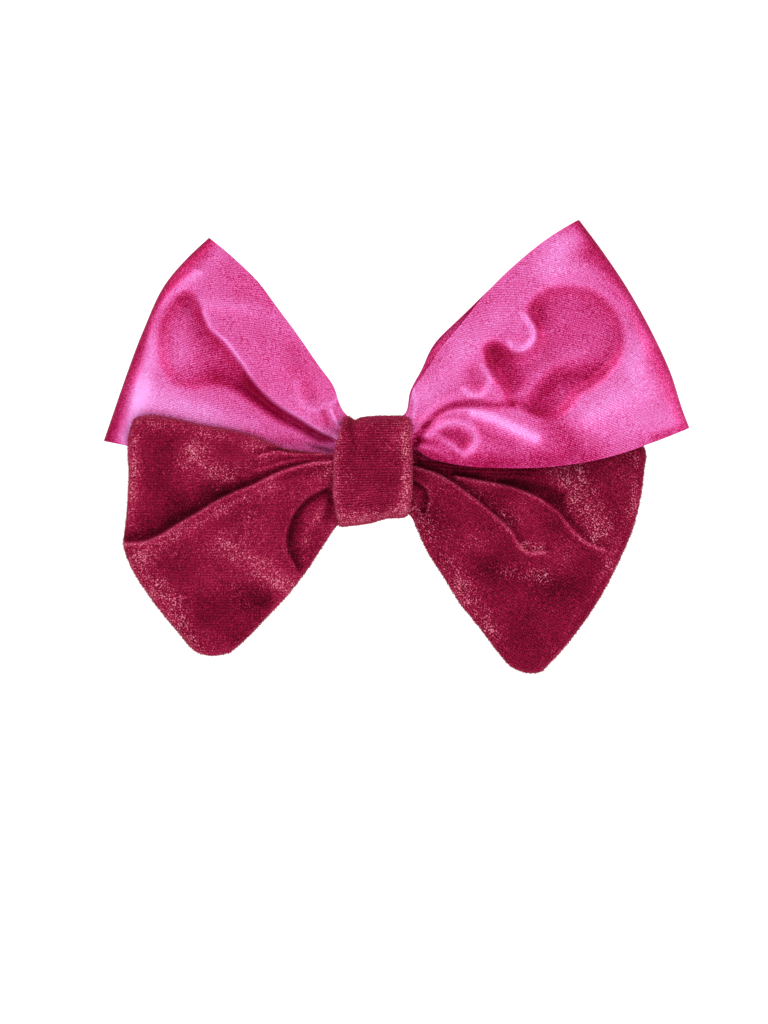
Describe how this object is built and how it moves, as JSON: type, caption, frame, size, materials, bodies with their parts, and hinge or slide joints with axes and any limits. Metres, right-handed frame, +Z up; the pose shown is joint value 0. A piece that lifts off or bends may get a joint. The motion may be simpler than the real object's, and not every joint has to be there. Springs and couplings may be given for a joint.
{
  "type": "bow barrette",
  "caption": "Hair bow of satin loops over velvet tails, gathered under a velvet wrap, on a sprung steel hair clip.",
  "frame": {"origin": "middle of the hair gap, between the tension bar and the closed clasp arm, behind the knot", "axes": "+X along the clip from its hinge to its catch, +Y out of the clip's back towards the wearer's head, +Z up; the bow faces -Y"},
  "size_m": [0.15, 0.0247, 0.1163],
  "materials": {
    "satin_ribbon": "hot pink satin with a metallic sheen",
    "stretch_velvet": "crimson stretch velvet with a short pile",
    "sewing_thread": "twisted polyester thread",
    "nickel_steel": "bright nickel plating",
    "spring_steel": "rolled spring steel"
  },
  "bodies": {
    "root": {"satin_loop_left": "satin_ribbon", "satin_loop_right": "satin_ribbon", "velvet_tail_left_front": "stretch_velvet", "velvet_tail_left_back": "stretch_velvet", "velvet_tail_right_front": "stretch_velvet", "velvet_tail_right_back": "stretch_velvet", "center_wrap": "stretch_velvet", "wrap_closing_stitches": "sewing_thread", "gathering_thread": "sewing_thread", "end_stitches_left": "sewing_thread", "end_stitches_right": "sewing_thread", "base_plate": "nickel_steel", "hinge_bracket": "nickel_steel", "hinge_rivet": "nickel_steel", "hinge_pin": "nickel_steel", "catch_base": "nickel_steel", "catch_rivet": "nickel_steel"},
    "arm": {"clasp_arm": "nickel_steel"},
    "bar": {"tension_bar": "spring_steel"},
    "prong_upper": {"catch_prong_upper": "spring_steel"},
    "prong_lower": {"catch_prong_lower": "spring_steel"}
  },
  "joints": [
    {"name": "arm_hinge", "type": "hinge", "parent": "root", "child": "arm", "pos_m": [-0.034, 0.0038, 0], "axis": [0, 0, 1], "range_deg": [0, 85]},
    {"name": "bar_pivot", "type": "hinge", "parent": "root", "child": "bar", "pos_m": [-0.0315, -0.002, 0], "axis": [0, 0, 1], "range_deg": [0, 6]},
    {"name": "prong_squeeze_upper", "type": "hinge", "parent": "root", "child": "prong_upper", "pos_m": [0.0346, -0.0009, 0.00215], "axis": [-1, 0, 0], "range_deg": [0, 6], "stiffness_Nm_per_rad": 0.002},
    {"name": "prong_squeeze_lower", "type": "hinge", "parent": "root", "child": "prong_lower", "pos_m": [0.0346, -0.0009, -0.00215], "axis": [1, 0, 0], "range_deg": [0, 6], "stiffness_Nm_per_rad": 0.002}
  ],
  "couplings": [
    {"joint": "bar_pivot", "follows": "arm_hinge", "ratio": 0.0705},
    {"joint": "prong_squeeze_lower", "follows": "prong_squeeze_upper", "ratio": 1}
  ]
}
